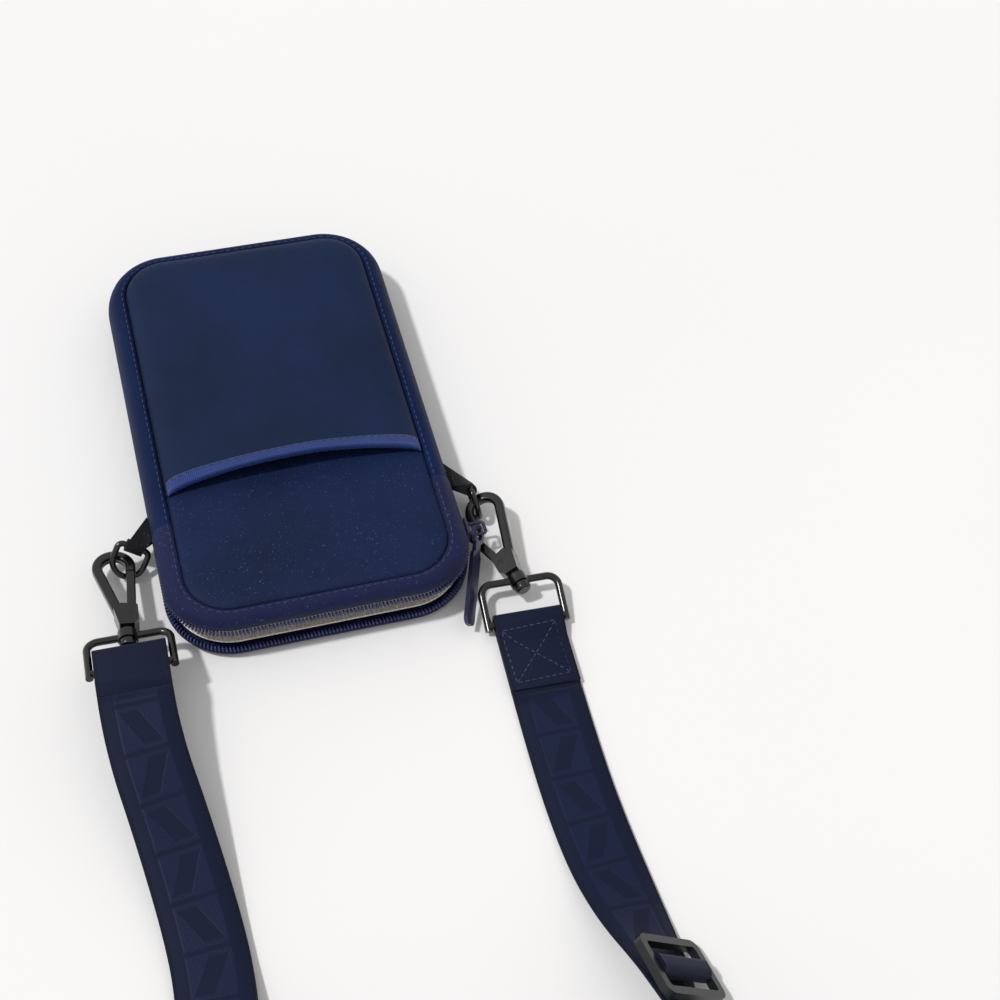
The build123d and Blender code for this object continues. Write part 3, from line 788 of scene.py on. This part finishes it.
# the cream lining, a smaller shell inside the first
lining = {"low": 3.0, "high": 19.0, "lowLip": 0.2, "highLip": 0.5}
backLining = ringSheet("backLining", liningBottom, "low", lining["lowLip"], close=True, level=lining["low"])
thicken(backLining, pouch["liningWall"], False)
finishPiece(backLining, "pouch", finishes["lining"], ("back_lining",))
for name, body, keep, node in (
    ("frontLining", "pouch", "far", "front_lining"),
    ("mouthLining", "mouth_flap", "near", "mouth_lining"),
):
    piece = ringSheet(name, liningTop, "high", lining["highLip"], close=True, level=lining["high"])
    cutAt(piece, pouch["foldY"], keep)
    thicken(piece, pouch["liningWall"])
    finishPiece(piece, body, finishes["lining"], (node,))
print("lining made")


# repeated small shapes: coil teeth and stitches

def beadMesh(size, segments, rings):
    # a ball squashed to this size
    deselectAll()
    bpy.ops.mesh.primitive_uv_sphere_add(segments=segments, ring_count=rings, radius=0.5)
    bead = bpy.context.object
    points = [Vector([c * s * mm for c, s in zip(v.co, size)]) for v in bead.data.vertices]
    faces = [tuple(f.vertices) for f in bead.data.polygons]
    bpy.data.objects.remove(bead)
    return points, faces


def scatter(name, size, spots, segments=6, rings=4):
    # spots: (place, along, up) with along the bead's long way
    basePoints, baseFaces = beadMesh(size, segments, rings)
    points, faces = [], []
    for place, along, up in spots:
        along = along.normalized()
        side = up.cross(along).normalized()
        top = along.cross(side)
        start = len(points)
        for p in basePoints:
            points.append(place + along * p.x + side * p.y + top * p.z)
        faces += [tuple(start + i for i in face) for face in baseFaces]
    return meshPiece(name, points, faces)


def evenly(points, pitch):
    # places along a line at an even pitch, with the way the line runs
    found, carried = [], 0.0
    for a, b in zip(points[:-1], points[1:]):
        step = b - a
        while carried < step.length:
            found.append((a + step.normalized() * carried, step.normalized()))
            carried += pitch
        carried -= step.length
    return found


def coilTuck(y):
    return mouthTuck(y, pouch["depth"] / 2, mouth["coilTuck"])


def rimLine(inset, side, heightOf, keep):
    # once round the outline from the fold, where keep allows; side is -1 to start on the left
    places = outline(inset)
    atFold = [abs(y - pouch["foldY"]) < pouch["same"] and x * side > 0 for x, y in places]
    start = atFold.index(True)
    ordered = places[start:] + places[:start]
    return [Vector((x * mm, (y + coilTuck(y)) * mm, heightOf(y) * mm)) for x, y in ordered if keep(y)]


upwards = Vector((0, 0, 1))
teeth = {
    "pitch": 1.3, "size": (2.3, 0.95, 1.9), "inset": 1.0, "off": 0.95, "slant": 0.25, "firstY": -43.9,
    "segments": 8, "rings": 5,
}
for name, body, node, edge, off in (
    ("frontCoil", "mouth_flap", "front_zip_coil", 1, teeth["off"]),
    ("backCoil", "pouch", "back_zip_coil", 0, -teeth["off"]),
):
    line = rimLine(teeth["inset"], -1, lambda y: mouthHeights(y)[edge] + off, lambda y: y < teeth["firstY"])
    spots = []
    for place, way in evenly(line, teeth["pitch"] * mm):
        spots.append((place, way.cross(upwards) + way * teeth["slant"], upwards))
    coil = scatter(name, teeth["size"], spots, teeth["segments"], teeth["rings"])
    finishPiece(coil, body, finishes["coil"], (node,))

stitches = {
    "pitch": 2.9, "size": (2.2, 0.34, 0.34), "inset": 6.3, "height": 21.85, "pouchY": -42.5, "flapY": -44,
}
for name, body, side, keep in (
    ("rimStitches", "pouch", 1, lambda y: y > stitches["pouchY"]),
    ("mouthStitches", "mouth_flap", -1, lambda y: y < stitches["flapY"]),
):
    line = rimLine(stitches["inset"], side, lambda y: stitches["height"], keep)
    # the seam lies behind the lips, so it isn't drawn back with them
    line = [place - Vector((0, coilTuck(place.y / mm) * mm, 0)) for place in line]
    spots = [(place, way, upwards) for place, way in evenly(line, stitches["pitch"] * mm)]
    seam = scatter(name, stitches["size"], spots)
    finishPiece(seam, body, finishes["thread"])
print("coils and stitches made")


# pocket binding: ribbon folded over the pocket's mouth

binding = {
    "halfLength": 46.6, "steps": 120, "flatAt": 21.6, "fullOver": 3.6, "least": 0.15,
    "stitchHalf": 44, "stitches": 30, "stitchIn": 4.1, "stitchUp": 0.5, "stitch": (2.1, 0.32, 0.34),
}
# the folded ribbon's section: (back from the mouth, up)
section = [
    (4.8, 0.0), (4.8, 0.35), (3.4, 0.55), (1.2, 0.6), (-0.2, 0.42), (-0.75, -0.2), (-0.95, -1.1),
    (-0.85, -2.0), (-0.3, -2.6), (0.8, -2.7), (1.0, -2.3), (0.0, -1.6), (0.0, -0.4), (1.0, 0.0),
]


def pocketHeight(x):
    # the height of the pocket's outside at its mouth
    inset = pouch["halfWidth"] - abs(x)
    height = pocketTop[0][1] if inset < pocketTop[0][0] else pocketTop[-1][1]
    for (i0, z0), (i1, z1) in zip(pocketTop[:-1], pocketTop[1:]):
        if i0 <= inset <= i1:
            height = z0 + (z1 - z0) * (inset - i0) / (i1 - i0)
    return height + softness(x, pouch["pocketY"], inset, padding["pocket"])


def onPocket(x, back, up):
    # a place on the pocket's mouth, moved with its gape
    y = pouch["pocketY"] + back
    pulled, raised = pocketLift(x, y)
    return Vector((x, y + pulled, pocketHeight(x) + raised + up)) * mm


points, uvs = [], []
for k in range(binding["steps"] + 1):
    x = binding["halfLength"] * (2 * k / binding["steps"] - 1)
    squeeze = min(1.0, max(binding["least"], (pocketHeight(x) - binding["flatAt"]) / binding["fullOver"]))
    for back, up in section:
        points.append(onPocket(x, back, up * squeeze if up < 0 else up))
        uvs.append((back * mm, x * mm))
faces = tubeFaces(binding["steps"] + 1, len(section))
pocketBinding = meshPiece("pocketBinding", points, faces, uvs)
editMesh(pocketBinding, bpy.ops.mesh.normals_make_consistent, inside=False)
finishPiece(pocketBinding, "pouch", finishes["ribbon"], ("pocket_binding",))

spots = []
for k in range(binding["stitches"] + 1):
    x = binding["stitchHalf"] * (2 * k / binding["stitches"] - 1)
    spots.append((onPocket(x, binding["stitchIn"], binding["stitchUp"]), Vector((1, 0, 0)), upwards))
bindingStitches = scatter("bindingStitches", binding["stitch"], spots)
finishPiece(bindingStitches, "pouch", finishes["thread"])


# box stitching on the strap's sewn end

boxStitch = {
    "middle": 68.4, "half": 9.8, "near": -124.0, "far": -103.5, "pitch": 2.3,
    "size": (1.8, 0.45, 0.4), "up": 0.1, "above": 0.05,
    "corners": ((-1, 0), (1, 0), (1, 1), (-1, 1), (-1, 0), (1, 1), (1, 0), (-1, 1)),
}
rightFold = bpy.data.objects["rightFold"]
bpy.context.view_layer.update()


def boxCorner(aside, share):
    y = boxStitch["near"] + share * (boxStitch["far"] - boxStitch["near"])
    return Vector((boxStitch["middle"] + aside * boxStitch["half"], y, 0))


corners = [boxCorner(*corner) for corner in boxStitch["corners"]]
spots = []
for start, end in zip(corners[:-1], corners[1:]):
    number = int((end - start).length / boxStitch["pitch"])
    for k in range(number):
        spot = (start + (end - start) * ((k + 0.5) / number)) * mm
        hit, place, normal, face = rightFold.ray_cast(spot + upwards * boxStitch["above"], -upwards)
        if hit:
            way = (end - start).normalized()
            way = way - normal * way.dot(normal)
            spots.append((place + normal * boxStitch["up"] * mm, way, normal))
sewnEnd = scatter("sewnEndStitches", boxStitch["size"], spots)
finishPiece(sewnEnd, "pouch", finishes["strapThread"])
print("binding and strap stitches made")


# hardware keeps its CAD shapes and gets its finishes

hardware = {"blackMetal": [], "zipPaint": ["zip_slider", "zip_pull", "zip_stops"], "adjusterMetal": ["adjuster"]}
for side in ("left", "right"):
    hardware["blackMetal"] += [side + "_" + part for part in ("d_ring", "hook", "gate", "gate_pin", "loop")]
for finishName, nodes in hardware.items():
    for node in nodes:
        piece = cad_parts[node]
        for slot in piece.material_slots:
            slot.material = finishes[finishName]
print("hardware finished")
